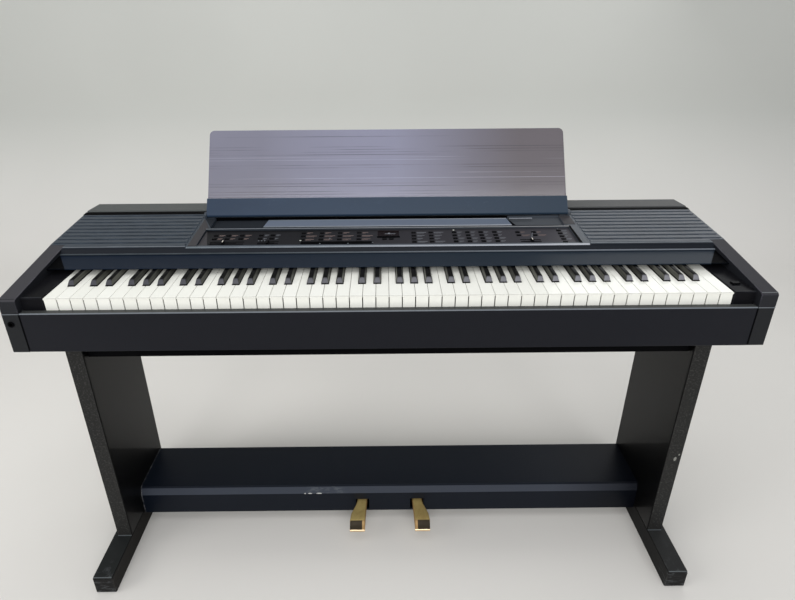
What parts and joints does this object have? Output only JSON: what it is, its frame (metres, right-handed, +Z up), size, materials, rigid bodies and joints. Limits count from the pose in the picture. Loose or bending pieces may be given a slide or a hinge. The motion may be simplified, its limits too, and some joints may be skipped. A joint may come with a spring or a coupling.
{
  "type": "electric piano on a stand",
  "caption": "Electric piano with a long keyboard, ribbed lid with speaker grilles, central control panel, clear music rest, two-legged stand and a pedal box with brass pedals.",
  "frame": {"origin": "on the floor, under the middle of the whole instrument's bounding box", "axes": "+X to the player's right, +Y away from the player, +Z up"},
  "size_m": [1.362, 0.4542, 0.8779],
  "materials": {
    "case_vinyl": "satin charcoal vinyl on board",
    "arm_top": "grained dark grey vinyl",
    "rail_satin": "satin near-black paint",
    "lid_plastic": "moulded slate blue-grey",
    "panel_plastic": "fine-textured warm grey",
    "fallboard_blue": "satin dark blue-grey",
    "cap_grey": "dark grey moulded",
    "knob_pale": "pale grey moulded",
    "display_red": "dark red window",
    "ivory": "white gloss",
    "ebony": "black gloss",
    "smoke": "translucent smoked acrylic",
    "bar_slate": "slate blue satin",
    "brass": "worn",
    "steel": "bright",
    "sheet_steel": "zinc grey",
    "board_green": "circuit board",
    "cone_black": "paper cone and frame",
    "core_iron": "lacquered laminations"
  },
  "bodies": {
    "case": {"side_panel_left": "case_vinyl", "side_cap_left": "arm_top", "key_block_left": "rail_satin", "leg_left": "case_vinyl", "foot_left": "case_vinyl", "grille_left": "lid_plastic", "speaker_left": "cone_black", "side_panel_right": "case_vinyl", "side_cap_right": "arm_top", "key_block_right": "rail_satin", "leg_right": "case_vinyl", "foot_right": "case_vinyl", "grille_right": "lid_plastic", "speaker_right": "cone_black", "front_rail": "rail_satin", "bottom_board": "case_vinyl", "back_panel": "case_vinyl", "rear_cover": "lid_plastic", "lid_lip": "lid_plastic", "fallboard": "fallboard_blue", "headphone_jack": "cap_grey", "key_frame": "sheet_steel", "front_apron": "rail_satin", "pedal_box": "rail_satin", "pedal_shaft": "steel", "main_board": "board_green", "power_supply": "core_iron", "power_inlet": "cap_grey", "console_frame": "lid_plastic", "control_panel": "panel_plastic", "display_window": "display_red", "panel_board": "board_green"},
    "white_keys_1": {"white_keys_1": "ivory"},
    "black_keys_1": {"black_keys_1": "ebony"},
    "white_keys_2": {"white_keys_2": "ivory"},
    "black_keys_2": {"black_keys_2": "ebony"},
    "white_keys_3": {"white_keys_3": "ivory"},
    "black_keys_3": {"black_keys_3": "ebony"},
    "white_keys_4": {"white_keys_4": "ivory"},
    "black_keys_4": {"black_keys_4": "ebony"},
    "white_keys_5": {"white_keys_5": "ivory"},
    "black_keys_5": {"black_keys_5": "ebony"},
    "white_keys_6": {"white_keys_6": "ivory"},
    "black_keys_6": {"black_keys_6": "ebony"},
    "white_keys_7": {"white_keys_7": "ivory"},
    "black_keys_7": {"black_keys_7": "ebony"},
    "pedal_left": {"pedal_left": "brass"},
    "pedal_right": {"pedal_right": "brass"},
    "music_rest": {"rest_bar": "bar_slate", "rest_sheet": "smoke"},
    "slider_volume": {"slider_volume": "knob_pale"},
    "slider_rhythm": {"slider_rhythm": "cap_grey"},
    "slider_tempo": {"slider_tempo": "knob_pale"},
    "buttons_left": {"buttons_left": "cap_grey"},
    "buttons_style": {"buttons_style": "cap_grey"},
    "buttons_chord": {"buttons_chord": "cap_grey"},
    "buttons_voice": {"buttons_voice": "cap_grey"},
    "buttons_right": {"buttons_right": "cap_grey"},
    "power_switch": {"power_switch": "cap_grey"}
  },
  "joints": [
    {"name": "white_keys_1_press", "type": "hinge", "parent": "case", "child": "white_keys_1", "pos_m": [0, 0.0749, 0.654], "axis": [1, 0, 0], "range_deg": [0, 2.6], "stiffness_Nm_per_rad": 4, "springref_deg": -17.19},
    {"name": "black_keys_1_press", "type": "hinge", "parent": "case", "child": "black_keys_1", "pos_m": [0, 0.0749, 0.654], "axis": [1, 0, 0], "range_deg": [0, 2.6], "stiffness_Nm_per_rad": 2.5, "springref_deg": -17.19},
    {"name": "white_keys_2_press", "type": "hinge", "parent": "case", "child": "white_keys_2", "pos_m": [0, 0.0749, 0.654], "axis": [1, 0, 0], "range_deg": [0, 2.6], "stiffness_Nm_per_rad": 4, "springref_deg": -17.19},
    {"name": "black_keys_2_press", "type": "hinge", "parent": "case", "child": "black_keys_2", "pos_m": [0, 0.0749, 0.654], "axis": [1, 0, 0], "range_deg": [0, 2.6], "stiffness_Nm_per_rad": 2.5, "springref_deg": -17.19},
    {"name": "white_keys_3_press", "type": "hinge", "parent": "case", "child": "white_keys_3", "pos_m": [0, 0.0749, 0.654], "axis": [1, 0, 0], "range_deg": [0, 2.6], "stiffness_Nm_per_rad": 4, "springref_deg": -17.19},
    {"name": "black_keys_3_press", "type": "hinge", "parent": "case", "child": "black_keys_3", "pos_m": [0, 0.0749, 0.654], "axis": [1, 0, 0], "range_deg": [0, 2.6], "stiffness_Nm_per_rad": 2.5, "springref_deg": -17.19},
    {"name": "white_keys_4_press", "type": "hinge", "parent": "case", "child": "white_keys_4", "pos_m": [0, 0.0749, 0.654], "axis": [1, 0, 0], "range_deg": [0, 2.6], "stiffness_Nm_per_rad": 4, "springref_deg": -17.19},
    {"name": "black_keys_4_press", "type": "hinge", "parent": "case", "child": "black_keys_4", "pos_m": [0, 0.0749, 0.654], "axis": [1, 0, 0], "range_deg": [0, 2.6], "stiffness_Nm_per_rad": 2.5, "springref_deg": -17.19},
    {"name": "white_keys_5_press", "type": "hinge", "parent": "case", "child": "white_keys_5", "pos_m": [0, 0.0749, 0.654], "axis": [1, 0, 0], "range_deg": [0, 2.6], "stiffness_Nm_per_rad": 4, "springref_deg": -17.19},
    {"name": "black_keys_5_press", "type": "hinge", "parent": "case", "child": "black_keys_5", "pos_m": [0, 0.0749, 0.654], "axis": [1, 0, 0], "range_deg": [0, 2.6], "stiffness_Nm_per_rad": 2.5, "springref_deg": -17.19},
    {"name": "white_keys_6_press", "type": "hinge", "parent": "case", "child": "white_keys_6", "pos_m": [0, 0.0749, 0.654], "axis": [1, 0, 0], "range_deg": [0, 2.6], "stiffness_Nm_per_rad": 4, "springref_deg": -17.19},
    {"name": "black_keys_6_press", "type": "hinge", "parent": "case", "child": "black_keys_6", "pos_m": [0, 0.0749, 0.654], "axis": [1, 0, 0], "range_deg": [0, 2.6], "stiffness_Nm_per_rad": 2.5, "springref_deg": -17.19},
    {"name": "white_keys_7_press", "type": "hinge", "parent": "case", "child": "white_keys_7", "pos_m": [0, 0.0749, 0.654], "axis": [1, 0, 0], "range_deg": [0, 2.6], "stiffness_Nm_per_rad": 4, "springref_deg": -17.19},
    {"name": "black_keys_7_press", "type": "hinge", "parent": "case", "child": "black_keys_7", "pos_m": [0, 0.0749, 0.654], "axis": [1, 0, 0], "range_deg": [0, 2.6], "stiffness_Nm_per_rad": 2.5, "springref_deg": -17.19},
    {"name": "pedal_left_press", "type": "hinge", "parent": "case", "child": "pedal_left", "pos_m": [0, 0.0119, 0.077], "axis": [1, 0, 0], "range_deg": [0, 5], "stiffness_Nm_per_rad": 10, "springref_deg": -8.59},
    {"name": "pedal_right_press", "type": "hinge", "parent": "case", "child": "pedal_right", "pos_m": [0, 0.0119, 0.077], "axis": [1, 0, 0], "range_deg": [0, 5], "stiffness_Nm_per_rad": 10, "springref_deg": -8.59},
    {"name": "music_rest_fold", "type": "hinge", "parent": "case", "child": "music_rest", "pos_m": [0, 0.13188, 0.70989], "axis": [1, 0, 0], "range_deg": [0, 122]},
    {"name": "slider_volume_slide", "type": "slide", "parent": "case", "child": "slider_volume", "axis": [1, 0, 0], "range_m": [-0.025, 0.025]},
    {"name": "slider_rhythm_slide", "type": "slide", "parent": "case", "child": "slider_rhythm", "axis": [1, 0, 0], "range_m": [-0.0205, 0.0115]},
    {"name": "slider_tempo_slide", "type": "slide", "parent": "case", "child": "slider_tempo", "axis": [1, 0, 0], "range_m": [-0.016, 0.016]},
    {"name": "buttons_left_press", "type": "slide", "parent": "case", "child": "buttons_left", "axis": [0, 0.0872, -0.9962], "range_m": [0, 0.0012], "stiffness_N_per_m": 400, "springref_m": -0.002},
    {"name": "buttons_style_press", "type": "slide", "parent": "case", "child": "buttons_style", "axis": [0, 0.0872, -0.9962], "range_m": [0, 0.0012], "stiffness_N_per_m": 400, "springref_m": -0.002},
    {"name": "buttons_chord_press", "type": "slide", "parent": "case", "child": "buttons_chord", "axis": [0, 0.0872, -0.9962], "range_m": [0, 0.0012], "stiffness_N_per_m": 400, "springref_m": -0.002},
    {"name": "buttons_voice_press", "type": "slide", "parent": "case", "child": "buttons_voice", "axis": [0, 0.0872, -0.9962], "range_m": [0, 0.0012], "stiffness_N_per_m": 400, "springref_m": -0.002},
    {"name": "buttons_right_press", "type": "slide", "parent": "case", "child": "buttons_right", "axis": [0, 0.0872, -0.9962], "range_m": [0, 0.0012], "stiffness_N_per_m": 400, "springref_m": -0.002},
    {"name": "power_switch_press", "type": "slide", "parent": "case", "child": "power_switch", "axis": [0, 0, -1], "range_m": [0, 0.002], "stiffness_N_per_m": 400, "springref_m": -0.002}
  ]
}
